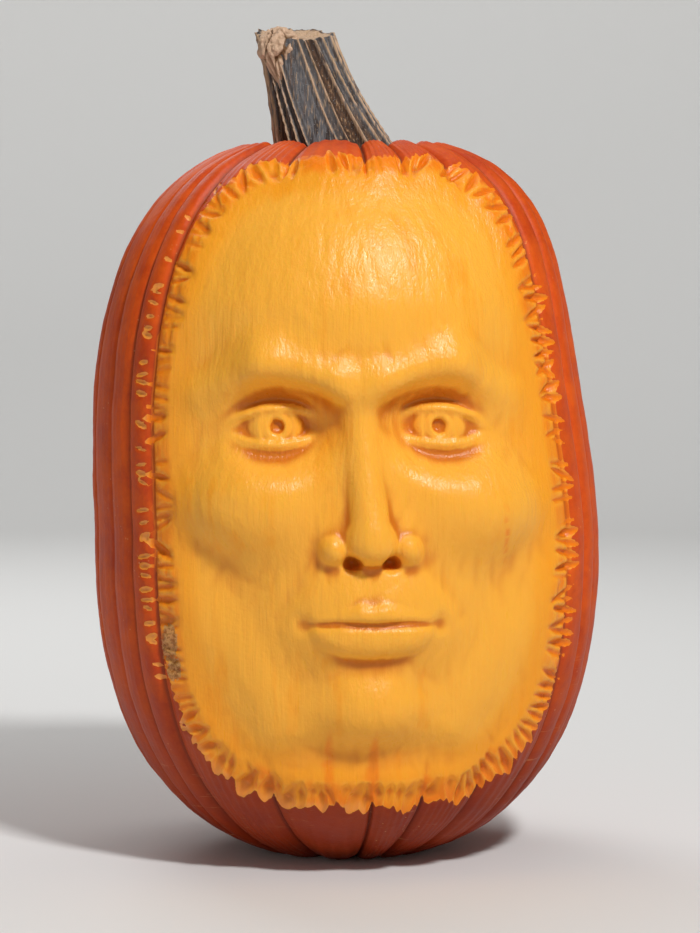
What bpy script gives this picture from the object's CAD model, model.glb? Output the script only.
"""Looks of a carved pumpkin: its ribbed rind and cut flesh, its dry stem, and a pale studio.

Laid out as an add-on and run as a script. Metres, +Z up, the carved face looks along -Y. The body and the
stem are flat grids bent round an axis. The face is a distance field of balls and tapered limbs placed by
the proportions of a drawing-book head, and the skin inside the cut field is moved in until it meets it.
"""

import math
import random

import bmesh
import bpy
import numpy as np
from bpy.props import FloatProperty, FloatVectorProperty, IntProperty, PointerProperty
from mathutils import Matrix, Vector, noise


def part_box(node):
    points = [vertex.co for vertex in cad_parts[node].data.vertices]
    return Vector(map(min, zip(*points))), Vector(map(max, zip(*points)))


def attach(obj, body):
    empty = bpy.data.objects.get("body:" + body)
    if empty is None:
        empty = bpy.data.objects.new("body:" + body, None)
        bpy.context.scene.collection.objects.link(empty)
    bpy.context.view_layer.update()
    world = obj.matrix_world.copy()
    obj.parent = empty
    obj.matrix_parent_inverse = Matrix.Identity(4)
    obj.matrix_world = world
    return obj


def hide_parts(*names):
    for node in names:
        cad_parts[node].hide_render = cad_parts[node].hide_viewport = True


bl_info = {
    "name": "Carved pumpkin",
    "version": (1, 0, 0),
    "blender": (4, 5, 0),
    "location": "View3D > Sidebar > Pumpkin",
    "description": "Builds a tall ribbed pumpkin with a face carved in relief, its dry stem and a studio",
    "category": "Add Mesh",
}

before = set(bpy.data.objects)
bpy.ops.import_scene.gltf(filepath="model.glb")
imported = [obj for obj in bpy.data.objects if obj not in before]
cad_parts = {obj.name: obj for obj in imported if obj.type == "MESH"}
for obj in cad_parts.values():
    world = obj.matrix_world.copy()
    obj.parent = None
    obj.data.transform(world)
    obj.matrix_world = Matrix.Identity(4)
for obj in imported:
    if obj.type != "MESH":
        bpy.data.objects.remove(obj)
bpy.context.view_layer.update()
BODY_LOW, BODY_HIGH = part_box("pumpkin")
STEM_LOW, STEM_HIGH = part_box("stem")

# Barrel, as built in the solids.
SOLE_Z = -0.005
UPPER_POWER = 3.0
LOWER_POWER = 2.4
SHOULDER_SLIMNESS = 0.022
LEAN = 0.006
RAY_LOW_Z, RAY_HIGH_Z = 0.11, 0.30

# Hollow in the crown.
SEAT_X = -0.001
SEAT_Z = 0.3900
SEAT_RADIUS = 0.039
SEAT_RIM_RADIUS = 0.059

# Stem. Its crests are set by hand across the front and spread evenly behind.
STEM_SEED = 4
STEM_FLARE = 0.0132
STEM_SIDE_END = 0.84
STEM_SUNK = 0.002
STEM_BOW = -0.0012
STEM_TOP_FALL = -0.0060
FRONT_CRESTS = [math.radians(a) for a in (-57, -45, -34, 0, 12, 30, 46)]
FRONT_HOLLOWS = [0.0016, 0.0014, 0.0010, 0.0016, 0.0036, 0.0018, 0.0016]
BACK_CREST_COUNT = 12
KNOB_RADII = (0.0116, 0.0104, 0.0118)
KNOB_OFFSET = (-0.0098, -0.0120, -0.0100)
KNOB_TAIL = 0.030
KNOB_SWELL = 0.0060
KNOB_SIZE = 0.0080
STEM_RIDGES = 11
STEM_RIDGE_DEPTH = 0.0020
STEM_DISH = 0.0035

# Ribs: a few wide ones across the front, narrow ones round the rest.
FRONT_GROOVES = [math.radians(a) for a in (-53.5, -28.0, 1.5, 17.0, 35.0, 53.0)]
BACK_RIB_COUNT = 25
RIB_CROWN_POWER = 2.6
RIB_SEED = 7

# The cut field.
FIELD_HALF_ANGLE = math.radians(54.0)
FIELD_LOW_Z = 0.043
FIELD_HIGH_RADIUS = 0.080
FIELD_UPPER_POWER = 4.5
FIELD_LOWER_POWER = 3.6
FIELD_SLOPE = 0.38
FIELD_SHELF = 0.012
FIELD_BLEND = 0.018
LEAST_CUT = 0.0018
FRONT_CROWDING = 0.5
GOUGE_SEED = 21
GOUGE_REACH = 0.022
GOUGE_FLOOR = 0.0048
GOUGES_MISSED = 0.12
NICK_DEPTH = 0.0018
NICK_PLACE = 0.0056
RIB_CUT_SHARE = 0.8

# Amber streaks in the flesh above the lower rim, and the dry scar beside it: x, z, half width, half height.
STREAKS = [(-0.0215, 0.063, 0.0032, 0.025), (0.0030, 0.061, 0.0038, 0.027), (0.0750, 0.190, 0.0016, 0.020)]
SCARS = [(-0.1065, 0.130, 0.0058, 0.0150), (-0.1040, 0.115, 0.0052, 0.0090)]

# Face: three equal thirds high and five eyes wide.
EYEBALL = 0.0205
EYE_DEPTH = 0.0225
UPPER_LID = 0.0088
LOWER_LID = 0.0068
MASK_DEPTH = 0.0190
FOREHEAD_FULLNESS = 0.0100
MARCH_STEPS = 90
MARCH_SHARE = 0.8
MARCH_CLOSE = 2e-5


# ---------------------------------------------------------------- small helpers

def ramp(value, low, high):
    """0 below low, 1 above high, and a smooth rise between them."""
    share = np.clip((value - low) / (high - low), 0, 1)
    return share * share * (3 - 2 * share)


def ball(points, centre, radii, yaw=0.0):
    """Distance to an egg with these three radii, turned by yaw about the vertical."""
    p = points - np.array(centre)
    if yaw:
        c, s = math.cos(yaw), math.sin(yaw)
        p = np.column_stack([c * p[:, 0] + s * p[:, 1], c * p[:, 1] - s * p[:, 0], p[:, 2]])
    radii = np.array(radii)
    near = np.sqrt(((p / radii) ** 2).sum(1))
    steep = np.sqrt(((p / radii**2) ** 2).sum(1))
    return near * (near - 1) / np.maximum(steep, 1e-9)


def limb(points, start, end, start_radius, end_radius):
    """Distance to a round limb that tapers from start to end."""
    start, end = np.array(start), np.array(end)
    p, axis = points - start, end - start
    share = np.clip(p @ axis / (axis @ axis), 0, 1)
    off = p - share[:, None] * axis
    return np.sqrt((off**2).sum(1)) - (start_radius + share * (end_radius - start_radius))


def join(first, second, blend):
    """Both shapes, with a fillet as wide as blend between them."""
    share = np.clip(0.5 + 0.5 * (second - first) / blend, 0, 1)
    return second + (first - second) * share - blend * share * (1 - share)


def cut(first, second, blend):
    """The first shape without the second, with its edge rounded by blend."""
    return -join(-first, second, blend)


def waves(points, wavelength, seed, octaves=3):
    """A smooth uneven value about -1 to 1 at each point, made of a few crossed sine waves."""
    pick = random.Random(seed)
    total = np.zeros(len(points))
    for octave in range(octaves):
        for _ in range(4):
            way = np.array([pick.gauss(0, 1) for _ in range(3)])
            way *= 2 * math.pi * 2**octave / wavelength / np.linalg.norm(way)
            total += np.sin(points @ way + pick.uniform(0, 6.28)) / 2**octave
    return total / 4


# ---------------------------------------------------------------- barrel, ribs and cut field

class Barrel:
    """The smooth outline of the pumpkin, before its ribs and its carving."""

    def __init__(self, size):
        self.size = size
        turn = np.linspace(-math.pi / 2, math.pi / 2, 4001)
        upper = turn > 0
        power = np.where(upper, UPPER_POWER, LOWER_POWER)
        share = np.abs(np.sin(turn)) ** (2 / power)
        slim = 1 - upper * SHOULDER_SLIMNESS * np.sin(math.pi * share) ** 2
        self.radius = size.width / 2 * slim * np.abs(np.cos(turn)) ** (2 / power)
        self.radius[[0, -1]] = 0
        half = np.where(upper, size.crown_height - size.belly_height, size.belly_height - SOLE_Z)
        self.height = size.belly_height + half * np.sign(turn) * share
        steps = np.hypot(np.diff(self.radius), np.diff(self.height))
        self.along = np.concatenate([[0], np.cumsum(steps)])

    def radius_at(self, z):
        size = self.size
        upper = z > size.belly_height
        half = np.where(upper, size.crown_height - size.belly_height, size.belly_height - SOLE_Z)
        power = np.where(upper, UPPER_POWER, LOWER_POWER)
        share = np.clip(np.abs(z - size.belly_height) / half, 0, 1)
        slim = 1 - upper * SHOULDER_SLIMNESS * np.sin(math.pi * share) ** 2
        return size.width / 2 * slim * (1 - share**power) ** (1 / power)

    def behind_front(self, x, z, depth):
        """The point at this side distance and height, that far behind the front of the barrel."""
        return (x, depth - math.sqrt(float(self.radius_at(np.array(z))) ** 2 - x**2), z)


class Ribs:
    """The grooves round the barrel and the rounded ribs between them."""

    def __init__(self, size):
        pick = random.Random(RIB_SEED)
        widths = np.array([pick.uniform(0.6, 1.4) for _ in range(BACK_RIB_COUNT)])
        back = 2 * math.pi + FRONT_GROOVES[0] - FRONT_GROOVES[-1]
        behind = np.cumsum(widths / widths.sum())[:-1] * back
        grooves = np.concatenate([FRONT_GROOVES, FRONT_GROOVES[-1] + behind])
        self.grooves = np.sort((grooves + math.pi) % (2 * math.pi) - math.pi)
        self.depths = np.array([size.rib_depth * pick.uniform(0.55, 1.45) for _ in self.grooves])

    def across(self, angle):
        """Place across its rib from -1 to 1, depth of the nearer groove, and the rib's number and width."""
        after = np.searchsorted(self.grooves, angle) % len(self.grooves)
        before = (after - 1) % len(self.grooves)
        width = (self.grooves[after] - self.grooves[before]) % (2 * math.pi)
        place = 2 * ((angle - self.grooves[before]) % (2 * math.pi)) / width - 1
        return place, np.where(place > 0, self.depths[after], self.depths[before]), before, width

    def dent(self, angle, radius, height):
        """How far the ribbed skin lies inside the smooth barrel."""
        place, depth, _, _ = self.across(angle)
        shoulder = 1 + 0.3 * ramp(np.abs(height - 0.21), 0.13, 0.20)
        fade = ramp(radius, 0.010, 0.045)
        return depth * shoulder * fade * np.abs(place) ** RIB_CROWN_POWER

    def fine_dent(self, angle, radius, points):
        """Faint ridges along each rib and soft unevenness of the rind."""
        place, _, number, width = self.across(angle)
        ridges = np.sin(place * math.pi * (2.5 + number % 3) + number) ** 2 * np.minimum(width / 0.2, 1.5)
        fade = ramp(radius, 0.030, 0.060)
        off = (1 - np.abs(place)) * width / 2 * radius
        line = 0.0013 * np.exp(-((off / 0.0010) ** 2))
        return fade * (line + 0.00035 * ridges + 0.00045 * waves(points, 0.060, 3) + 0.00012 * waves(points, 0.012, 5))


class Field:
    """The outline of the cut field on the unrolled skin, in angle and distance along the barrel."""

    def __init__(self, barrel):
        middle = np.argmax(barrel.radius)
        self.barrel = barrel
        self.low = float(np.interp(FIELD_LOW_Z, barrel.height[:middle], barrel.along[:middle]))
        self.high = float(np.interp(-FIELD_HIGH_RADIUS, -barrel.radius[middle:], barrel.along[middle:]))
        self.middle = (self.low + self.high) / 2
        self.half = (self.high - self.low) / 2

    def radius_along(self, along):
        return np.interp(along, self.barrel.along, self.barrel.radius)

    def inside(self, angle, along):
        """Distance inside the field's rim, negative outside it."""
        u = np.abs(angle) / FIELD_HALF_ANGLE
        v = np.abs(along - self.middle) / self.half
        power = np.where(along > self.middle, FIELD_UPPER_POWER, FIELD_LOWER_POWER)
        norm = np.maximum((u**power + v**power) ** (1 / power), 1e-6)
        wide = FIELD_HALF_ANGLE * np.maximum(self.radius_along(along), 0.02)
        slope = np.hypot((u / norm) ** (power - 1) / wide, (v / norm) ** (power - 1) / self.half)
        return (1 - norm) / np.maximum(slope, 1e-6)

    def rim(self, spacing):
        """Evenly spaced points on the rim, as angle, distance along, and the direction inwards."""
        turn = np.linspace(0, 2 * math.pi, 4001)
        power = np.where(np.sin(turn) > 0, FIELD_UPPER_POWER, FIELD_LOWER_POWER)
        angle = FIELD_HALF_ANGLE * np.sign(np.cos(turn)) * np.abs(np.cos(turn)) ** (2 / power)
        along = self.middle + self.half * np.sign(np.sin(turn)) * np.abs(np.sin(turn)) ** (2 / power)
        across, up = self.radius_along(along)[1:] * np.diff(angle), np.diff(along)
        length = np.concatenate([[0], np.cumsum(np.hypot(across, up))])
        stops = np.linspace(0, length[-1], int(length[-1] / spacing), endpoint=False)
        heading = np.interp(stops, length[1:], np.unwrap(np.arctan2(up, across)))
        return np.interp(stops, length, angle), np.interp(stops, length, along), heading + math.pi / 2

    def gouges(self, angle, along, spacing):
        """Depth of the gouge strokes round the rim, far below zero where there is none."""
        pick = random.Random(GOUGE_SEED)
        depth = np.full(len(angle), -1.0)
        for rim_angle, rim_along, inwards in zip(*self.rim(spacing)):
            local = float(self.radius_along(rim_along))
            if pick.random() < GOUGES_MISSED:
                continue
            low, left = max(math.sin(inwards), 0), max(math.cos(inwards), 0)
            right = max(-math.cos(inwards), 0)
            heading = inwards + pick.gauss(0, 0.22)
            overshoot = pick.uniform(0.001, 0.005) + right * pick.uniform(0.001, 0.006)
            overshoot += low * pick.uniform(0, 0.011)
            hollow = pick.uniform(0.0010, 0.0034) + 0.0030 * low
            slope = pick.uniform(0.24, 0.44) + 0.12 * low
            sharp = pick.uniform(0, 0.3) + 0.35 * right
            x, y = (angle - rim_angle) * local, along - rim_along
            near = np.flatnonzero((np.abs(x) < 0.04) & (np.abs(y) < 0.04))
            forward = x[near] * math.cos(heading) + y[near] * math.sin(heading)
            aside = y[near] * math.cos(heading) - x[near] * math.sin(heading)
            floor = np.minimum(slope * (forward + overshoot), GOUGE_FLOOR)
            floor -= 0.8 * np.maximum(forward + overshoot - GOUGE_REACH, 0)
            stroke = floor - aside**2 / (2 * hollow) - sharp * np.abs(aside)
            if left > pick.uniform(0.5, 1.25):
                long, tall = pick.uniform(0.0034, 0.0058), pick.uniform(0.0010, 0.0021)
                nick = 1 - ((forward + NICK_PLACE) / long) ** 2 - (aside / tall) ** 2
                stroke = np.maximum(stroke, NICK_DEPTH * nick)
            depth[near] = np.maximum(depth[near], stroke)
        return depth


# ---------------------------------------------------------------- the face

class Face:
    """The carved face, worked out on one side and mirrored, with a little hand-cut unevenness."""

    def __init__(self, barrel, size):
        self.at = barrel.behind_front
        self.size = size
        third, self.eye = size.face_third, size.eye_width
        self.chin_z = size.chin_height
        self.brow_z = self.chin_z + 2 * third
        self.nose_z = self.chin_z + third
        self.tip_z = self.nose_z + 0.010
        self.eye_z = self.brow_z - 0.27 * third
        self.mouth_z = self.nose_z - third / 3
        self.mouth_half = 0.82 * self.eye

    def distance(self, points):
        p = points.copy()
        p[:, 0] = np.abs(p[:, 0] + 0.0010 * np.sin(p[:, 2] * 31 + 0.6))
        face = self.mask(p)
        lower_half = (self.cheeks_and_jaw, self.mouth_and_chin, self.lips)
        for feature in (self.brows, *lower_half, self.eyes, self.nose):
            face = feature(p, face)
        return face

    def mask(self, p):
        """The plain carved-back surface that the features stand on, fuller over the forehead."""
        size = self.size
        full = ramp(p[:, 2], self.brow_z - 0.015, self.brow_z + 0.045)
        recess = MASK_DEPTH - FOREHEAD_FULLNESS * full
        upper = p[:, 2] > size.belly_height
        power = np.where(upper, UPPER_POWER, LOWER_POWER)
        half = np.where(upper, size.crown_height - size.belly_height, size.belly_height - SOLE_Z)
        wide = size.width / 2 - recess
        up = np.abs(p[:, 2] - size.belly_height) / (half - recess)
        radius = np.hypot(p[:, 0], p[:, 1])
        return wide * (((radius / wide) ** power + up**power) ** (1 / power) - 1)

    def brows(self, p, face):
        at, z = self.at, self.brow_z
        face = join(face, ball(p, at(0, z - 0.004, 0.0280), (0.018, 0.016, 0.014)), 0.012)
        peak = at(0.050, z + 0.006, 0.0158)
        inner = limb(p, at(0.017, z - 0.004, 0.0176), peak, 0.0076, 0.0096)
        outer = limb(p, peak, at(0.080, z - 0.009, 0.0230), 0.0096, 0.0056)
        return join(face, join(inner, outer, 0.008), 0.018)

    def cheeks_and_jaw(self, p, face):
        at = self.at
        cheek = ball(p, at(0.062, self.nose_z + 0.028, 0.0350), (0.036, 0.027, 0.025), math.radians(25))
        jaw_turn = at(0.092, self.mouth_z + 0.014, 0.036)
        jaw = limb(p, jaw_turn, at(0.042, self.chin_z + 0.008, 0.034), 0.018, 0.018)
        face = join(join(face, cheek, 0.022), jaw, 0.022)
        return cut(face, ball(p, at(0, self.chin_z - 0.020, 0.002), (0.085, 0.027, 0.0165)), 0.014)

    def mouth_and_chin(self, p, face):
        at, z = self.at, self.mouth_z
        face = join(face, ball(p, at(0, z + 0.002, 0.046), (0.048, 0.034, 0.036)), 0.016)
        face = join(face, ball(p, at(0, self.chin_z + 0.018, 0.0330), (0.031, 0.027, 0.021)), 0.016)
        face = cut(face, ball(p, at(0, z - 0.0235, 0.0050), (0.028, 0.0085, 0.0068)), 0.009)
        fold = limb(p, at(0.029, self.nose_z + 0.008, 0.0120), at(0.053, z + 0.004, 0.0125), 0.0036, 0.0046)
        face = cut(face, fold, 0.007)
        lip_hollow = limb(p, at(0, self.nose_z - 0.005, 0.0070), at(0, z + 0.012, 0.0055), 0.0040, 0.0044)
        return cut(face, lip_hollow, 0.006)

    def lips(self, p, face):
        at, z, half = self.at, self.mouth_z, self.mouth_half
        corner = at(half, z - 0.0004, 0.0168)
        upper = limb(p, at(0.0062, z + 0.0052, 0.0140), corner, 0.0062, 0.0026)
        upper = join(upper, ball(p, at(0, z + 0.0044, 0.0140), (0.0080, 0.0062, 0.0056)), 0.003)
        lower = ball(p, at(0, z - 0.0074, 0.0180), (0.0300, 0.0092, 0.0116))
        lower = join(lower, limb(p, at(0.016, z - 0.0062, 0.0168), corner, 0.0062, 0.0024), 0.006)
        face = join(join(face, upper, 0.0030), lower, 0.0034)
        middle = at(0.018, z + 0.0002, 0.0112)
        line = np.minimum(
            limb(p, at(0, z - 0.0008, 0.0098), middle, 0.0014, 0.0014),
            limb(p, middle, at(half + 0.001, z - 0.0010, 0.0136), 0.0014, 0.0016),
        )
        face = cut(face, line, 0.0026)
        return cut(face, ball(p, at(half + 0.003, z - 0.0012, 0.0118), (0.0040, 0.0050, 0.0045)), 0.006)

    def eyes(self, p, face):
        at, z = self.at, self.eye_z
        face = cut(face, ball(p, at(self.eye, z + 0.002, 0.004), (0.034, 0.0285, 0.023)), 0.014)
        centre = np.array(at(self.eye, z, EYE_DEPTH + EYEBALL))
        eye = ball(p, centre, (EYEBALL, EYEBALL, EYEBALL))
        lids = ball(p, centre, (0.0275, EYEBALL + 0.0034, 0.0195))
        across, up = p[:, 0] - centre[0], p[:, 2] - centre[2] + 0.05 * (p[:, 0] - centre[0])
        half = self.eye / 2
        upper_round = (half**2 + UPPER_LID**2) / (2 * UPPER_LID)
        lower_round = (half**2 + LOWER_LID**2) / (2 * LOWER_LID)
        gap = np.maximum(
            np.hypot(across, up - UPPER_LID + upper_round) - upper_round,
            np.hypot(across, up + LOWER_LID - lower_round) - lower_round,
        )
        face = join(face, cut(lids, gap - 0.7 * np.maximum(eye, 0), 0.0016), 0.0035)
        fold_round = upper_round + 0.0065
        fold = np.abs(np.hypot(across, up - UPPER_LID + upper_round) - fold_round)
        along_lid = ramp(up, 0.002, 0.008) * ramp(-np.abs(across), -0.024, -0.014)
        crease = 0.0016 * np.exp(-((fold / 0.0014) ** 2)) * along_lid
        face = face + crease * (p[:, 1] < centre[1])
        iris = np.hypot(across, up - 0.0008)
        dish = 0.0012 * ramp(-iris, -0.0100, -0.0090) + 0.0045 * ramp(-iris, -0.0046, -0.0032)
        return np.minimum(face, eye + np.where(p[:, 1] < centre[1], dish, 0))

    def nose(self, p, face):
        at, z = self.at, self.nose_z
        root, ridge_end = at(0, self.eye_z + 0.008, 0.0240), at(0, self.tip_z + 0.008, 0.0162)
        bridge = limb(p, root, ridge_end, 0.0078, 0.0112)
        side = limb(p, at(0.010, self.eye_z - 0.012, 0.034), at(0.0175, z + 0.016, 0.0290), 0.0085, 0.0125)
        shape = join(bridge, side, 0.008)
        shape = join(shape, ball(p, at(0, self.tip_z, 0.0176), (0.0140, 0.0140, 0.0118)), 0.005)
        shape = join(shape, ball(p, at(0.0200, z + 0.0070, 0.0230), (0.0086, 0.0130, 0.0098)), 0.0030)
        column = limb(p, at(0, self.tip_z - 0.007, 0.0170), at(0, z - 0.003, 0.029), 0.0046, 0.0048)
        face = join(face, join(shape, column, 0.003), 0.0050)
        return cut(face, ball(p, at(0.0104, z - 0.0004, 0.0185), (0.0046, 0.0080, 0.0036)), 0.0030)


# ---------------------------------------------------------------- carved body

def spots(points, places):
    """1 in the middle of the nearest spot, falling to 0 at its edge, for upright spots on the front."""
    value = np.zeros(len(points))
    for x, z, half_width, half_height in places:
        across = ((points[:, 0] - x) / half_width) ** 2
        up = ((points[:, 2] - z) / half_height) ** 2
        value = np.maximum(value, (1 - across - up) * (points[:, 1] < 0))
    return value


class CarvedBody:
    """Points and surface values of the carved body on a grid that runs round the axis and from sole to crown."""

    def __init__(self, size):
        self.size = size
        self.barrel = Barrel(size)
        self.ribs = Ribs(size)
        self.field = Field(self.barrel)
        self.face = Face(self.barrel, size)

    def depth_of_face(self, starts, rays):
        """How far along its ray each start point is from the face."""
        depth = np.zeros(len(starts))
        moving = np.arange(len(starts))
        for _ in range(MARCH_STEPS):
            gap = self.face.distance(starts[moving] + rays[moving] * depth[moving, None])
            depth[moving] += MARCH_SHARE * gap
            moving = moving[np.abs(gap) > MARCH_CLOSE]
            if len(moving) == 0:
                break
        return depth

    def tool_marks(self, angle, along, inside):
        """Shallow overlapping strokes that a knife and a loop tool leave all over the cut field."""
        pick = random.Random(5)
        marks = np.zeros(len(angle))
        columns = np.argsort(along)
        sorted_along = along[columns]
        for _ in range(900):
            centre_angle = pick.uniform(-1, 1) * FIELD_HALF_ANGLE
            centre_along = pick.uniform(self.field.low, self.field.high)
            local = float(self.field.radius_along(centre_along))
            heading = math.pi / 2 + pick.gauss(0, 0.5)
            long, wide = pick.uniform(0.008, 0.022), pick.uniform(0.0022, 0.0045)
            deep = pick.uniform(0.00012, 0.00042)
            first, last = np.searchsorted(sorted_along, [centre_along - long, centre_along + long])
            near = columns[first:last]
            x, y = (angle[near] - centre_angle) * local, along[near] - centre_along
            close = np.abs(x) < long
            near, x, y = near[close], x[close], y[close]
            forward = (x * math.cos(heading) + y * math.sin(heading)) / long
            aside = (y * math.cos(heading) - x * math.sin(heading)) / wide
            marks[near] = np.maximum(marks[near], deep * np.clip(1 - aside**2 - forward**4, 0, 1))
        return marks * ramp(inside, 0.002, 0.010)

    def grid(self, x, y):
        """Points, then the depth of each below the ribbed skin, its place in a rib and its distance inside the rim."""
        size = self.size
        turn = math.pi * x
        angle = turn - FRONT_CROWDING * np.sin(turn)
        along = (y + 1) / 2 * self.barrel.along[-1]
        radius = self.field.radius_along(along)
        height = np.interp(along, self.barrel.along, self.barrel.height)
        start = np.column_stack([radius * np.sin(angle), -radius * np.cos(angle), height])
        core = np.column_stack([0 * radius, 0 * radius, np.clip(height, RAY_LOW_Z, RAY_HIGH_Z)])
        rays = core - start
        rays /= np.linalg.norm(rays, axis=1)[:, None]
        inside = self.field.inside(angle, along)
        bare = 1 - ramp(inside, 0.008, 0.030)
        ribbed = self.ribs.dent(angle, radius, height) * bare
        skin = ribbed + self.ribs.fine_dent(angle, radius, start) * bare
        depth = RIB_CUT_SHARE * ribbed + FIELD_SLOPE * (inside + np.maximum(inside - FIELD_SHELF, 0))
        near = np.flatnonzero(inside > 0)
        depth[near] = join(depth[near], self.depth_of_face(start[near], rays[near]), FIELD_BLEND)
        shallowest = skin + LEAST_CUT * ramp(inside, 0.004, 0.012)
        depth[near] = np.maximum(depth, shallowest)[near]
        depth[near] += self.tool_marks(angle[near], along[near], inside[near])
        gouges = self.field.gouges(angle, along, size.gouge_spacing)
        depth = np.maximum(depth, RIB_CUT_SHARE * ribbed + gouges)
        points = start + rays * np.maximum(skin, depth)[:, None]
        share = np.clip((points[:, 2] - size.belly_height) / (size.crown_height - size.belly_height), 0, 1)
        points[:, 0] -= LEAN * np.sin(math.pi * share) ** 1.5
        place = np.abs(self.ribs.across(angle)[0])
        groove = (1 - place) * self.ribs.across(angle)[3] / 2 * radius
        return self.sink_crown(points), np.maximum(depth - skin, -0.004), groove, inside

    def sink_crown(self, points):
        """Points with the hollow for the stem pressed into the crown."""
        reach = np.hypot(points[:, 0] - SEAT_X, points[:, 1])
        sunk = (1 - ramp(reach, SEAT_RADIUS, SEAT_RIM_RADIUS)) * (points[:, 2] > self.size.belly_height)
        points[:, 2] += (SEAT_Z - points[:, 2]) * sunk
        return points


def blurred(values, times):
    """A grid of values, each averaged with its four neighbours this many times, round the seam too."""
    for _ in range(times):
        side = (np.roll(values, 1, 1) + np.roll(values, -1, 1)) / 2
        above = np.concatenate([values[:1], values[:-1]])
        below = np.concatenate([values[1:], values[-1:]])
        values = 0.4 * values + 0.3 * side + 0.15 * (above + below)
    return values


def grid_mesh(name, columns, rows):
    """A flat grid from -1 to 1, with each vertex's column and row number."""
    bm = bmesh.new()
    bmesh.ops.create_grid(bm, x_segments=columns, y_segments=rows, size=1)
    mesh = bpy.data.meshes.new(name)
    bm.to_mesh(mesh)
    bm.free()
    flat = np.empty(len(mesh.vertices) * 3, np.float32)
    mesh.vertices.foreach_get("co", flat)
    flat = flat.reshape(-1, 3)
    column = np.rint((flat[:, 0] + 1) / 2 * columns).astype(int)
    row = np.rint((flat[:, 1] + 1) / 2 * rows).astype(int)
    return mesh, column, row


def sheet_piece(name, columns, rows, shape):
    """A piece from a grid whose shape function gives the points and named values for x and y from -1 to 1."""
    mesh, column, row = grid_mesh(name, columns, rows)
    across, up = np.meshgrid(np.linspace(-1, 1, columns + 1)[:-1], np.linspace(-1, 1, rows + 1))
    points, values = shape(across.ravel(), up.ravel(), (rows + 1, columns))
    pick = (row, column % columns)
    close_sheet(mesh, points[pick], {label: value[pick] for label, value in values.items()})
    return add_piece(name, mesh)


def close_sheet(mesh, points, values):
    """Bend a flat grid to these points, give it these values, and join it along its seam and at its ends."""
    mesh.vertices.foreach_set("co", points.astype(np.float32).ravel())
    for name, value in values.items():
        layer = mesh.attributes.new(name, "FLOAT", "POINT")
        layer.data.foreach_set("value", value.astype(np.float32))
    bm = bmesh.new()
    bm.from_mesh(mesh)
    bmesh.ops.remove_doubles(bm, verts=bm.verts, dist=1e-6)
    bmesh.ops.recalc_face_normals(bm, faces=bm.faces)
    bm.to_mesh(mesh)
    bm.free()


def add_piece(name, mesh):
    piece = bpy.data.objects.new(name, mesh)
    bpy.context.scene.collection.objects.link(piece)
    return piece


def thin_out(piece, triangles):
    """Apply a collapse that leaves about this many triangles, most of them where the form turns fastest."""
    now = sum(len(face.vertices) - 2 for face in piece.data.polygons)
    modifier = piece.modifiers.new("fewer triangles", "DECIMATE")
    modifier.ratio = triangles / now
    thinned = bpy.data.meshes.new_from_object(piece.evaluated_get(bpy.context.evaluated_depsgraph_get()))
    piece.modifiers.clear()
    piece.data = thinned


def ride_as(piece, slot, *nodes):
    """Say what the finished piece moves with, whose finish it takes and which solids it stands for."""
    piece.data.shade_smooth()
    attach(piece, "root")
    if nodes:
        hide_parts(*nodes)


# ---------------------------------------------------------------- stem

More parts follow.
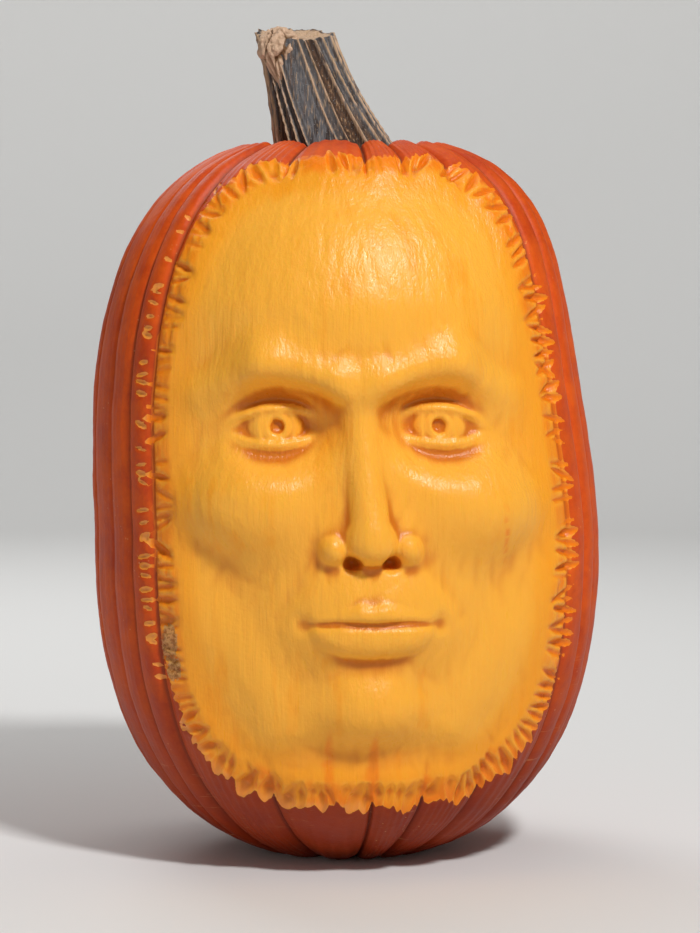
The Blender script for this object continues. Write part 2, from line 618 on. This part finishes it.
class Stem:
    """The dry stem: a leaning ridged sheet with flared toes and a slanting, broken top."""

    def __init__(self, size):
        self.size = size
        pick = random.Random(STEM_SEED)
        gaps = np.array([pick.uniform(0.6, 1.4) for _ in range(BACK_CREST_COUNT)])
        behind = np.cumsum(gaps / gaps.sum())[:-1] * (2 * math.pi + FRONT_CRESTS[0] - FRONT_CRESTS[-1])
        crests = np.concatenate([FRONT_CRESTS, FRONT_CRESTS[-1] + behind])
        order = np.argsort((crests + math.pi) % (2 * math.pi))
        self.crests = ((crests + math.pi) % (2 * math.pi) - math.pi)[order]
        hollows = FRONT_HOLLOWS + [pick.uniform(0.0010, 0.0034) for _ in range(BACK_CREST_COUNT)]
        self.hollows = np.array(hollows[: len(crests)])[order]

    def grid(self, x, y):
        """Points, then each one's distance from a crest, how deep in a hollow it is, and how far in on the cut top."""
        size = self.size
        up = np.clip((y + 0.94) / (STEM_SIDE_END + 0.94), 0, 1)
        reach = np.where(y > 0, np.clip((1 - y) / (1 - STEM_SIDE_END), 0, 1), np.clip((y + 1) / 0.06, 0, 1))
        angle = math.pi * x
        turned = angle + 0.10 * (up - 0.5) + 0.035 * np.sin(5 * up + 3 * angle)
        turned = (turned + math.pi) % (2 * math.pi) - math.pi
        after = np.searchsorted(self.crests, turned) % len(self.crests)
        before = (after - 1) % len(self.crests)
        width = (self.crests[after] - self.crests[before]) % (2 * math.pi)
        share = ((turned - self.crests[before]) % (2 * math.pi)) / width
        toes = np.clip(1 - up, 0, 0.9) ** 2
        hollow = self.hollows[before] * (1 + 1.1 * toes) * (4 * share * (1 - share)) ** 0.55
        body = size.stem_width / 2 * (1 - 0.16 * up) + STEM_FLARE * toes
        off = np.minimum(share, 1 - share) * width * body
        crest = 0.0007 * np.exp(-((off / 0.0007) ** 2))
        along = np.column_stack([np.cos(turned), np.sin(turned), 0.12 * up])
        grain = 0.00035 * waves(along, 0.22, 8) + 0.00025 * waves(along * (1, 1, 12), 0.45, 9)
        radius = (body - hollow + crest + grain) * reach
        dish = 0.0035 * (1 - reach**2) * (y > 0)
        crumble = 0.0012 * waves(np.column_stack([np.cos(angle), np.sin(angle), reach]), 0.5, 12) * (y > 0) * reach
        fall = STEM_TOP_FALL * np.cos(angle) * radius / (size.stem_width / 2)
        top = size.stem_height + fall - dish + crumble
        bow = STEM_BOW * np.sin(math.pi * up)
        points = np.column_stack([
            SEAT_X - size.stem_lean * up + bow + radius * np.sin(angle),
            -radius * np.cos(angle),
            SEAT_Z - STEM_SUNK + (top + STEM_SUNK) * up,
        ])
        return points, off, hollow / 0.0034, np.where(y > 0, 1 - reach, 0)


def broken_knob(size):
    """The torn stub of a side shoot at the top corner of the stem, with its tail running down a ridge."""
    bm = bmesh.new()
    bmesh.ops.create_icosphere(bm, subdivisions=6, radius=1)
    unit = np.array([vert.co for vert in bm.verts])
    ridges = np.abs(waves(unit, 0.9, 4, 2)) * 0.16 + waves(unit, 0.35, 6, 2) * 0.06
    cracks = np.maximum(0, 0.12 - np.abs(waves(unit * (1, 1, 0.4), 0.8, 9, 1))) * 1.6
    swell = 1 + ridges - cracks
    body = unit * swell[:, None] * np.array(KNOB_RADII)
    below = np.clip(-unit[:, 2], 0, 1)
    body[:, :2] *= (1 - 0.62 * below**1.5)[:, None]
    body[:, 2] -= KNOB_TAIL * below**3
    body[:, 0] += 0.35 * KNOB_TAIL * below**3
    body += np.array([SEAT_X - size.stem_lean, 0, SEAT_Z + size.stem_height]) + np.array(KNOB_OFFSET)
    for vert, point in zip(bm.verts, body):
        vert.co = point
    mesh = bpy.data.meshes.new("stem_knob")
    bm.to_mesh(mesh)
    bm.free()
    return mesh, swell


# ---------------------------------------------------------------- shader helpers

class Nodes:
    """Short ways to add and join nodes in one tree."""

    def __init__(self, tree):
        self.tree = tree

    def feed(self, socket, value):
        if isinstance(value, bpy.types.NodeSocket):
            self.tree.links.new(value, socket)
        elif value is not None:
            socket.default_value = value

    def math(self, operation, first, second=None, clamp=False):
        node = self.tree.nodes.new("ShaderNodeMath")
        node.operation = operation
        node.use_clamp = clamp
        self.feed(node.inputs[0], first)
        self.feed(node.inputs[1], second)
        return node.outputs[0]

    def mix(self, factor, first, second, blend="MIX"):
        node = self.tree.nodes.new("ShaderNodeMix")
        node.data_type = "RGBA"
        node.blend_type = blend
        self.feed(node.inputs[0], factor)
        self.feed(node.inputs[6], first)
        self.feed(node.inputs[7], second)
        return node.outputs[2]

    def blend(self, factor, first, second):
        node = self.tree.nodes.new("ShaderNodeMix")
        self.feed(node.inputs[0], factor)
        self.feed(node.inputs[2], first)
        self.feed(node.inputs[3], second)
        return node.outputs[0]

    def between(self, value, low, high, to_low=0.0, to_high=1.0):
        node = self.tree.nodes.new("ShaderNodeMapRange")
        node.interpolation_type = "SMOOTHSTEP"
        for place, item in enumerate((value, low, high, to_low, to_high)):
            self.feed(node.inputs[place], item)
        return node.outputs[0]

    def value_of(self, name):
        node = self.tree.nodes.new("ShaderNodeAttribute")
        node.attribute_name = name
        return node.outputs["Fac"]

    def place(self, scale=(1, 1, 1), shift=(0, 0, 0)):
        node = self.tree.nodes.new("ShaderNodeMapping")
        self.feed(node.inputs["Vector"], self.tree.nodes.new("ShaderNodeTexCoord").outputs["Object"])
        node.inputs["Scale"].default_value = scale
        node.inputs["Location"].default_value = shift
        return node.outputs[0]

    def height_of(self, place):
        node = self.tree.nodes.new("ShaderNodeSeparateXYZ")
        self.feed(node.inputs[0], place)
        return node.outputs[2]

    def noise(self, place, scale, detail=4.0, roughness=0.55, distortion=0.0):
        node = self.tree.nodes.new("ShaderNodeTexNoise")
        for name, value in (("Vector", place), ("Scale", scale), ("Detail", detail), ("Roughness", roughness), ("Distortion", distortion)):
            self.feed(node.inputs[name], value)
        return node.outputs[0]

    def cells(self, place, scale, feature="F1", randomness=1.0):
        node = self.tree.nodes.new("ShaderNodeTexVoronoi")
        node.feature = feature
        for name, value in (("Vector", place), ("Scale", scale), ("Randomness", randomness)):
            self.feed(node.inputs[name], value)
        return node

    def bump(self, height, distance, strength=1.0):
        node = self.tree.nodes.new("ShaderNodeBump")
        self.feed(node.inputs["Height"], height)
        node.inputs["Distance"].default_value = distance
        node.inputs["Strength"].default_value = strength
        return node.outputs[0]


def colour4(colour):
    return (*colour, 1.0)


def new_material(name):
    material = bpy.data.materials.new(name)
    material.use_nodes = True
    tree = material.node_tree
    return material, Nodes(tree), tree.nodes["Principled BSDF"]


def group_nodes(name, inputs, outputs):
    """A new shader node group with float and colour sockets, its helper, and its two ends."""
    tree = bpy.data.node_groups.new(name, "ShaderNodeTree")
    for label, kind, default in inputs:
        socket = tree.interface.new_socket(label, in_out="INPUT", socket_type=kind)
        if default is not None:
            socket.default_value = default
    for label, kind in outputs:
        tree.interface.new_socket(label, in_out="OUTPUT", socket_type=kind)
    nodes = Nodes(tree)
    return tree, nodes, tree.nodes.new("NodeGroupInput"), tree.nodes.new("NodeGroupOutput")


def mottle_group():
    """Soft and fine blotches together: a value from 0 to 1 round 0.5."""
    found = bpy.data.node_groups.get("mottle")
    if found:
        return found
    inputs = [("Vector", "NodeSocketVector", None), ("Scale", "NodeSocketFloat", 20.0)]
    tree, nodes, start, end = group_nodes("mottle", inputs, [("Value", "NodeSocketFloat")])
    soft = nodes.noise(start.outputs["Vector"], start.outputs["Scale"], 3.0, 0.5, 0.4)
    fine = nodes.noise(start.outputs["Vector"], nodes.math("MULTIPLY", start.outputs["Scale"], 7.0), 4.0, 0.6)
    both = nodes.math("ADD", nodes.math("MULTIPLY", soft, 0.65), nodes.math("MULTIPLY", fine, 0.35))
    tree.links.new(nodes.between(both, 0.32, 0.68), end.inputs["Value"])
    return tree


def fibre_group():
    """Long fibres that run up and down: a height from 0 to 1."""
    found = bpy.data.node_groups.get("fibre")
    if found:
        return found
    inputs = [("Vector", "NodeSocketVector", None), ("Scale", "NodeSocketFloat", 300.0), ("Stretch", "NodeSocketFloat", 0.07)]
    tree, nodes, start, end = group_nodes("fibre", inputs, [("Value", "NodeSocketFloat")])
    scale = tree.nodes.new("ShaderNodeCombineXYZ")
    scale.inputs[0].default_value = 1.0
    scale.inputs[1].default_value = 1.0
    nodes.feed(scale.inputs[2], start.outputs["Stretch"])
    stretched = tree.nodes.new("ShaderNodeVectorMath")
    stretched.operation = "MULTIPLY"
    nodes.feed(stretched.inputs[0], start.outputs["Vector"])
    nodes.feed(stretched.inputs[1], scale.outputs[0])
    fibres = nodes.noise(stretched.outputs[0], start.outputs["Scale"], 3.0, 0.6)
    tree.links.new(nodes.between(fibres, 0.25, 0.75), end.inputs["Value"])
    return tree


def use_group(nodes, tree, **values):
    node = nodes.tree.nodes.new("ShaderNodeGroup")
    node.node_tree = tree
    for name, value in values.items():
        nodes.feed(node.inputs[name], value)
    return node.outputs[0]


# ---------------------------------------------------------------- materials

def pumpkin_material(look):
    """Waxy rind outside, and flesh that pales from orange just under the rind to yellow deep inside."""
    material, n, shader = new_material("pumpkin rind and flesh")
    depth = n.value_of("cut_depth")
    groove = n.value_of("groove")
    crease, fold = n.value_of("crease"), n.value_of("fold")
    here = n.place()
    blotch = use_group(n, mottle_group(), Vector=here, Scale=14.0)
    patch = use_group(n, mottle_group(), Vector=n.place(shift=(0.3, 0.1, 0.7)), Scale=45.0)
    fibre = use_group(n, fibre_group(), Vector=here, Scale=420.0, Stretch=0.06)
    streak = use_group(n, fibre_group(), Vector=here, Scale=70.0, Stretch=0.09)

    rind = n.mix(blotch, colour4(look.rind), colour4(look.rind_deep))
    rind = n.mix(n.math("MULTIPLY", patch, 0.45), rind, colour4(look.rind_light))
    in_groove = n.between(groove, 0.0, 0.0016, 1.0, 0.0)
    rind = n.mix(n.math("MULTIPLY", in_groove, 0.8), rind, colour4(look.groove))
    low_down = n.between(n.height_of(here), 0.17, 0.0)
    rind = n.mix(n.math("MULTIPLY", low_down, 0.75), rind, colour4(look.rind_low))
    specks = n.between(n.cells(here, 260.0).outputs["Distance"], 0.10, 0.16, 1.0, 0.0)
    some = n.between(n.noise(here, 30.0, 2.0), 0.56, 0.66)
    rind = n.mix(n.math("MULTIPLY", n.math("MULTIPLY", specks, some), 0.5), rind, colour4(look.speck))
    scratches = n.between(n.noise(n.place(scale=(1, 1, 16)), 26.0, 5.0, 0.7), 0.62, 0.70)
    rind = n.mix(n.math("MULTIPLY", n.math("MULTIPLY", scratches, low_down), 0.35), rind, colour4(look.speck))
    crumbs = n.noise(here, 420.0, 4.0, 0.7)
    ragged = n.math("ADD", n.value_of("scar"), n.math("MULTIPLY", n.math("SUBTRACT", crumbs, 0.5), 1.2))
    scar = n.math("MULTIPLY", n.between(ragged, 0.40, 0.60), 0.75)

    wobble = n.math("MULTIPLY", n.math("SUBTRACT", streak, 0.5), 0.003)
    seen_depth = n.math("ADD", depth, wobble)
    margin = n.value_of("margin")
    under = n.mix(n.value_of("nick"), colour4(look.under_rind), colour4(look.nick))
    deep = n.math("MAXIMUM", n.between(seen_depth, 0.0002, 0.0045), n.between(margin, 0.80, 0.45))
    flesh = n.mix(deep, under, colour4(look.flesh))
    pale = n.math("MAXIMUM", n.between(seen_depth, 0.005, 0.016), n.between(margin, 0.60, 0.10))
    flesh = n.mix(pale, flesh, colour4(look.flesh_pale))
    flesh = n.mix(n.math("MULTIPLY", margin, 0.35), flesh, colour4(look.flesh_side))
    stripes = n.math("MULTIPLY", n.between(streak, 0.60, 0.95), blotch)
    flesh = n.mix(n.math("MULTIPLY", stripes, 0.60), flesh, colour4(look.flesh_streak))
    flesh = n.mix(n.math("MULTIPLY", fibre, 0.08), flesh, colour4(look.under_rind))
    spindle = n.between(n.value_of("streak"), 0.0, 0.8)
    flesh = n.mix(n.math("MULTIPLY", spindle, 0.60), flesh, colour4(look.under_rind))
    flesh = n.mix(n.between(crease, 0.0, 0.0009, 0.0, 0.85), flesh, colour4(look.crease))
    flesh = n.mix(n.between(fold, 0.00006, 0.00040, 0.0, 0.60), flesh, under)
    flesh = n.mix(n.between(fold, -0.00006, -0.00040, 0.0, 0.5), flesh, colour4(look.flesh_pale))

    is_flesh = n.between(depth, -0.00010, 0.00010)
    color = n.mix(scar, n.mix(is_flesh, rind, flesh), n.mix(n.between(crumbs, 0.40, 0.60), colour4(look.furrow), colour4(look.scar)))
    n.feed(shader.inputs["Base Color"], color)
    rough_rind = n.blend(patch, 0.48, 0.60)
    rough_flesh = n.blend(fibre, 0.26, 0.44)
    n.feed(shader.inputs["Roughness"], n.blend(is_flesh, rough_rind, rough_flesh))
    shader.inputs["Subsurface Weight"].default_value = 0.15
    shader.inputs["Subsurface Radius"].default_value = (1.0, 0.38, 0.08)
    shader.inputs["Subsurface Scale"].default_value = 0.004
    shader.inputs["Specular IOR Level"].default_value = 0.30
    pores = n.noise(here, 900.0, 2.0, 0.6)
    dimples = n.noise(here, 130.0, 3.0, 0.6)
    rind_height = n.math("ADD", n.math("MULTIPLY", pores, 0.3), n.math("MULTIPLY", dimples, 2.4))
    flesh_height = n.math("ADD", n.math("MULTIPLY", fibre, 0.4), n.math("MULTIPLY", n.noise(here, 500.0, 3.0), 0.5))
    height = n.blend(is_flesh, n.math("MULTIPLY", rind_height, 0.5), flesh_height)
    n.feed(shader.inputs["Normal"], n.bump(height, 0.0005, 0.9))
    return material


def bark_material(look):
    """Grey weathered bands with pale specks, tan cords along the crests, brown furrows and a pale cut top."""
    material, n, shader = new_material("dry stem")
    crest, hollow, top = n.value_of("crest"), n.value_of("hollow"), n.value_of("cut_top")
    here = n.place()
    blotch = use_group(n, mottle_group(), Vector=here, Scale=60.0)
    fibre = use_group(n, fibre_group(), Vector=here, Scale=900.0, Stretch=0.10)
    broad = use_group(n, fibre_group(), Vector=here, Scale=260.0, Stretch=0.12)
    grey = n.math("MULTIPLY", n.math("ADD", blotch, fibre), 0.42)
    band = n.mix(grey, colour4(look.bark), colour4(look.bark_dust))
    brown = n.mix(fibre, colour4(look.furrow_deep), colour4(look.furrow))
    color = n.mix(n.between(hollow, 0.50, 0.90), band, brown)
    color = n.mix(n.math("MULTIPLY", n.between(broad, 0.66, 0.86), 0.8), color, colour4(look.furrow_deep))
    color = n.mix(n.math("MULTIPLY", n.between(broad, 0.24, 0.08), 0.5), color, colour4(look.furrow))
    specks = n.between(n.cells(here, 620.0).outputs["Distance"], 0.14, 0.24, 1.0, 0.0)
    color = n.mix(n.math("MULTIPLY", specks, 0.65), color, colour4(look.bark_dust))
    hair = n.between(fibre, 0.68, 0.88)
    color = n.mix(n.math("MULTIPLY", hair, 0.55), color, colour4(look.crest))
    shade = n.math("MULTIPLY", n.between(crest, 0.0008, 0.0018), n.between(crest, 0.0034, 0.0020))
    color = n.mix(n.math("MULTIPLY", shade, 0.6), color, colour4(look.furrow_deep))
    edge = n.math("MULTIPLY", n.between(crest, 0.0003, 0.0010, 1.0, 0.0), n.between(broad, 0.10, 0.45))
    color = n.mix(edge, color, n.mix(fibre, colour4(look.crest), colour4(look.dry_flesh)))
    cut_face = n.mix(fibre, colour4(look.dry_flesh), colour4(look.crest))
    cut_face = n.mix(n.between(top, 0.55, 0.95), cut_face, colour4(look.furrow))
    color = n.mix(n.between(top, 0.02, 0.10), color, cut_face)
    n.feed(shader.inputs["Base Color"], color)
    n.feed(shader.inputs["Roughness"], n.blend(blotch, 0.62, 0.85))
    height = n.math("ADD", n.math("MULTIPLY", fibre, 0.8), n.math("MULTIPLY", specks, 0.4))
    n.feed(shader.inputs["Normal"], n.bump(height, 0.0005))
    return material


def knob_material(look):
    """Torn dry flesh: pale on its high places and brown in its cracks."""
    material, n, shader = new_material("torn stub")
    here = n.place()
    fibre = use_group(n, fibre_group(), Vector=here, Scale=700.0, Stretch=0.35)
    high = n.between(n.value_of("swell"), 0.90, 1.06)
    color = n.mix(high, colour4(look.furrow), colour4(look.dry_flesh))
    color = n.mix(n.math("MULTIPLY", fibre, 0.30), color, colour4(look.crest))
    n.feed(shader.inputs["Base Color"], color)
    shader.inputs["Roughness"].default_value = 0.8
    n.feed(shader.inputs["Normal"], n.bump(fibre, 0.0006))
    return material


# ---------------------------------------------------------------- settings

def colour_setting(name, description, default):
    return FloatVectorProperty(name=name, description=description, default=default, size=3, min=0, max=1, subtype="COLOR")


def length_setting(name, description, default):
    return FloatProperty(name=name, description=description, default=default, min=0.0001, subtype="DISTANCE", unit="LENGTH")


class PumpkinSizes(bpy.types.PropertyGroup):
    width: length_setting("Width", "Width of the barrel at its belly", 0.290)
    belly_height: length_setting("Belly height", "Height of the widest place", 0.179)
    crown_height: length_setting("Crown height", "Height of the top of the smooth barrel", 0.410)
    rib_depth: length_setting("Rib depth", "Usual depth of the grooves between ribs", 0.0032)
    gouge_spacing: length_setting("Gouge spacing", "Distance between gouge strokes round the rim", 0.0062)
    chin_height: length_setting("Chin height", "Height of the chin of the carved face", 0.078)
    face_third: length_setting("Face third", "A third of the height from the chin to the hairline", 0.098)
    eye_width: length_setting("Eye width", "Width of an eye, a fifth of the head's width", 0.044)
    stem_width: length_setting("Stem width", "Thickness of the stem above its toes", 0.0540)
    stem_height: length_setting("Stem height", "Height of the stem above its seat", 0.0775)
    stem_lean: length_setting("Stem lean", "How far the stem leans sideways", 0.0290)
    columns: IntProperty(name="Columns", description="Grid faces round the body", default=600, min=60)
    rows: IntProperty(name="Rows", description="Grid faces from sole to crown", default=480, min=60)
    triangles: IntProperty(name="Triangles", description="Triangles left in the body", default=190000, min=1000)


class PumpkinColours(bpy.types.PropertyGroup):
    rind: colour_setting("Rind", "Usual colour of the rind", (0.66, 0.068, 0.001))
    rind_deep: colour_setting("Deep rind", "Darker blotches of the rind", (0.47, 0.040, 0.001))
    rind_light: colour_setting("Light rind", "Paler blotches of the rind", (0.88, 0.145, 0.002))
    rind_low: colour_setting("Low rind", "Darker rind near the sole", (0.17, 0.011, 0.001))
    scar: colour_setting("Scar", "Dry crumbly scar on the rind", (0.58, 0.33, 0.13))
    groove: colour_setting("Groove", "Colour in the grooves", (0.10, 0.030, 0.012))
    speck: colour_setting("Specks", "Small dry specks on the rind", (0.80, 0.42, 0.18))
    under_rind: colour_setting("Under the rind", "Flesh just under the rind", (0.90, 0.20, 0.003))
    nick: colour_setting("Nicks", "Pale peach cut of the small nicks outside the rim", (0.93, 0.36, 0.085))
    flesh: colour_setting("Flesh", "Usual colour of the cut flesh", (0.96, 0.40, 0.024))
    flesh_pale: colour_setting("Pale flesh", "Deeper and paler flesh", (0.98, 0.450, 0.045))
    flesh_side: colour_setting("Side flesh", "Deeper orange flesh towards the rim", (0.86, 0.26, 0.007))
    flesh_streak: colour_setting("Streaks", "Stronger amber streaks along the fibres", (0.94, 0.31, 0.003))
    bark: colour_setting("Bark", "Dark grey bands of the stem", (0.038, 0.037, 0.040))
    bark_dust: colour_setting("Bark dust", "Pale weathered film on the bands", (0.25, 0.245, 0.25))
    crest: colour_setting("Crests", "Tan cords that stand up along the stem", (0.46, 0.30, 0.16))
    furrow: colour_setting("Furrows", "Brown hollows of the stem", (0.16, 0.068, 0.022))
    furrow_deep: colour_setting("Deep furrows", "Darkest part of the hollows", (0.030, 0.015, 0.009))
    dry_flesh: colour_setting("Dry flesh", "Pale torn and cut ends of the stem", (0.70, 0.47, 0.32))
    crease: colour_setting("Creases", "Amber flesh in hollows and creases", (0.60, 0.135, 0.004))


class PUMPKIN_OT_body(bpy.types.Operator):
    """Build the ribbed body with the face carved into its front"""

    bl_idname = "pumpkin.body"
    bl_label = "Body"

    def execute(self, context):
        size = context.scene.pumpkin_sizes

        def shape(x, y, form):
            points, depth, groove, inside = CarvedBody(size).grid(x, y)
            points = points.reshape(*form, 3)
            softened = blurred(points, 2)
            keep = (1 - ramp(inside, 0.010, 0.020)).reshape(*form, 1)
            points = softened + (points - softened) * keep
            points[:, :, 2] = np.maximum(points[:, :, 2], 0)
            points[[0, -1], :, :2] = 0
            outwards = points - np.array([0, 0, size.belly_height])
            outwards /= np.linalg.norm(outwards, axis=2)[:, :, None]
            crease = ((blurred(points, 30) - points) * outwards).sum(2)
            margin = 1 - ramp(inside, 0.006, 0.040)
            rimward = (1 - ramp(inside, 0.012, 0.024)).reshape(form)
            fold = ((blurred(points, 4) - points) * outwards).sum(2) * rimward
            flat = points.reshape(-1, 3)
            values = {"cut_depth": depth, "groove": groove, "margin": margin}
            values["nick"] = ramp(-inside, 0.0005, 0.0025) * (flat[:, 0] < 0)
            values |= {"streak": spots(flat, STREAKS), "scar": spots(flat, SCARS)}
            return points, {"crease": crease, "fold": fold} | {name: value.reshape(form) for name, value in values.items()}

        body = sheet_piece("pumpkin_body", size.columns, size.rows, shape)
        thin_out(body, size.triangles)
        body.data.materials.append(pumpkin_material(context.scene.pumpkin_colours))
        ride_as(body, "pumpkin", "pumpkin")
        return {"FINISHED"}


class PUMPKIN_OT_stem(bpy.types.Operator):
    """Build the dry ridged stem with its cut top and the torn knob on its corner"""

    bl_idname = "pumpkin.stem"
    bl_label = "Stem"

    def execute(self, context):
        size, look = context.scene.pumpkin_sizes, context.scene.pumpkin_colours

        def shape(x, y, form):
            points, crest, hollow, top = Stem(size).grid(x, y)
            points = points.reshape(*form, 3)
            values = {"crest": crest, "hollow": hollow, "cut_top": top}
            return points, {name: value.reshape(form) for name, value in values.items()}

        stem = sheet_piece("stem_bark", 480, 150, shape)
        stem.data.materials.append(bark_material(look))
        ride_as(stem, "stem", "stem")
        mesh, swell = broken_knob(size)
        layer = mesh.attributes.new("swell", "FLOAT", "POINT")
        layer.data.foreach_set("value", swell.astype(np.float32))
        knob = add_piece("stem_knob", mesh)
        mesh.materials.append(knob_material(look))
        ride_as(knob, "stem")
        return {"FINISHED"}


class StudioSettings(bpy.types.PropertyGroup):
    azimuth: FloatProperty(name="Azimuth", description="Camera's turn about the pumpkin", default=math.radians(-6), subtype="ANGLE")
    elevation: FloatProperty(name="Elevation", description="Camera's angle above the horizon", default=math.radians(3.5), subtype="ANGLE")
    distance: length_setting("Distance", "Camera's distance from its aim", 1.7)
    view_height: length_setting("View height", "Height seen at the aim", 0.538)
    aim_x: FloatProperty(name="Aim sideways", description="Sideways place of the aim", default=0.0017, unit="LENGTH")
    aim_height: length_setting("Aim height", "Height of the aim", 0.220)
    floor: colour_setting("Floor", "Colour of the floor and backdrop", (0.80, 0.80, 0.79))


class PUMPKIN_OT_stage(bpy.types.Operator):
    """Build the floor and backdrop, the soft lights and the camera"""

    bl_idname = "pumpkin.stage"
    bl_label = "Stage"

    def execute(self, context):
        studio = context.scene.pumpkin_studio
        self.floor(studio)
        self.lights()
        self.camera(studio)
        context.scene.view_settings.view_transform = "Standard"
        return {"FINISHED"}

    def floor(self, studio):
        """A wide floor that sweeps up into a backdrop all round."""
        bm = bmesh.new()
        bmesh.ops.create_circle(bm, cap_ends=True, segments=96, radius=2.2)
        for step in range(1, 13):
            turn = step / 12 * math.pi / 2
            rim = [edge for edge in bm.edges if edge.is_boundary]
            made = bmesh.ops.extrude_edge_only(bm, edges=rim)["geom"]
            ring = [item for item in made if isinstance(item, bmesh.types.BMVert)]
            radius, height = 2.2 + 0.8 * math.sin(turn), 0.8 * (1 - math.cos(turn))
            for vert in ring:
                vert.co = Vector((vert.co.x, vert.co.y, 0)).normalized() * radius + Vector((0, 0, height))
        mesh = bpy.data.meshes.new("studio_floor")
        bm.to_mesh(mesh)
        bm.free()
        mesh.shade_smooth()
        floor = add_piece("studio_floor", mesh)
        material, n, shader = new_material("pale paper")
        n.feed(shader.inputs["Base Color"], colour4(studio.floor))
        shader.inputs["Roughness"].default_value = 0.85
        mesh.materials.append(material)

    def lights(self):
        pumpkin, backdrop = Vector((0, 0, 0.22)), Vector((0, 2.8, 0.6))
        lamps = (
            ("key", (0.62, -1.50, 1.85), pumpkin, 40, 0.26),
            ("fill", (-1.6, -1.3, 0.5), pumpkin, 2.5, 1.2),
            ("back", (-0.6, 1.5, 1.5), pumpkin, 9, 1.0),
            ("wash", (0, 0.9, 2.2), backdrop, 22, 1.5),
        )
        for name, place, aim, watts, width in lamps:
            data = bpy.data.lights.new(name, "AREA")
            data.energy = watts
            data.size = width
            lamp = bpy.data.objects.new(name, data)
            bpy.context.scene.collection.objects.link(lamp)
            lamp.location = place
            lamp.rotation_euler = (aim - Vector(place)).to_track_quat("-Z", "Y").to_euler()
        world = bpy.data.worlds.new("studio air")
        bpy.context.scene.world = world
        world.use_nodes = True
        air = world.node_tree.nodes["Background"]
        air.inputs["Color"].default_value = (1.0, 0.96, 0.91, 1.0)
        air.inputs["Strength"].default_value = 0.12

    def camera(self, studio):
        data = bpy.data.cameras.new("camera")
        data.sensor_fit = "VERTICAL"
        data.sensor_height = 24.0
        data.lens = data.sensor_height * studio.distance / studio.view_height
        camera = bpy.data.objects.new("camera", data)
        bpy.context.scene.collection.objects.link(camera)
        flat = math.cos(studio.elevation)
        back = Vector((math.sin(studio.azimuth) * flat, -math.cos(studio.azimuth) * flat, math.sin(studio.elevation)))
        camera.location = Vector((studio.aim_x, 0, studio.aim_height)) + back * studio.distance
        camera.rotation_euler = (-back).to_track_quat("-Z", "Y").to_euler()
        bpy.context.scene.camera = camera


class PUMPKIN_PT_panel(bpy.types.Panel):
    """Buttons and settings of the carved pumpkin"""

    bl_idname = "PUMPKIN_PT_panel"
    bl_label = "Carved pumpkin"
    bl_space_type = "VIEW_3D"
    bl_region_type = "UI"
    bl_category = "Pumpkin"

    def draw(self, context):
        for operator in OPERATORS:
            self.layout.operator(operator.bl_idname)
        for settings in (context.scene.pumpkin_sizes, context.scene.pumpkin_colours, context.scene.pumpkin_studio):
            box = self.layout.box()
            for name in settings.__annotations__:
                box.prop(settings, name)


SETTINGS = {"pumpkin_sizes": PumpkinSizes, "pumpkin_colours": PumpkinColours, "pumpkin_studio": StudioSettings}
OPERATORS = (PUMPKIN_OT_stage, PUMPKIN_OT_body, PUMPKIN_OT_stem)


def register():
    for name, group in SETTINGS.items():
        bpy.utils.register_class(group)
        setattr(bpy.types.Scene, name, PointerProperty(type=group))
    for item in (*OPERATORS, PUMPKIN_PT_panel):
        bpy.utils.register_class(item)


def unregister():
    for item in (PUMPKIN_PT_panel, *reversed(OPERATORS)):
        bpy.utils.unregister_class(item)
    for name, group in SETTINGS.items():
        delattr(bpy.types.Scene, name)
        bpy.utils.unregister_class(group)


def main():
    register()
    bpy.ops.pumpkin.stage()
    bpy.ops.pumpkin.body()
    bpy.ops.pumpkin.stem()


if __name__ == "__main__":
    main()
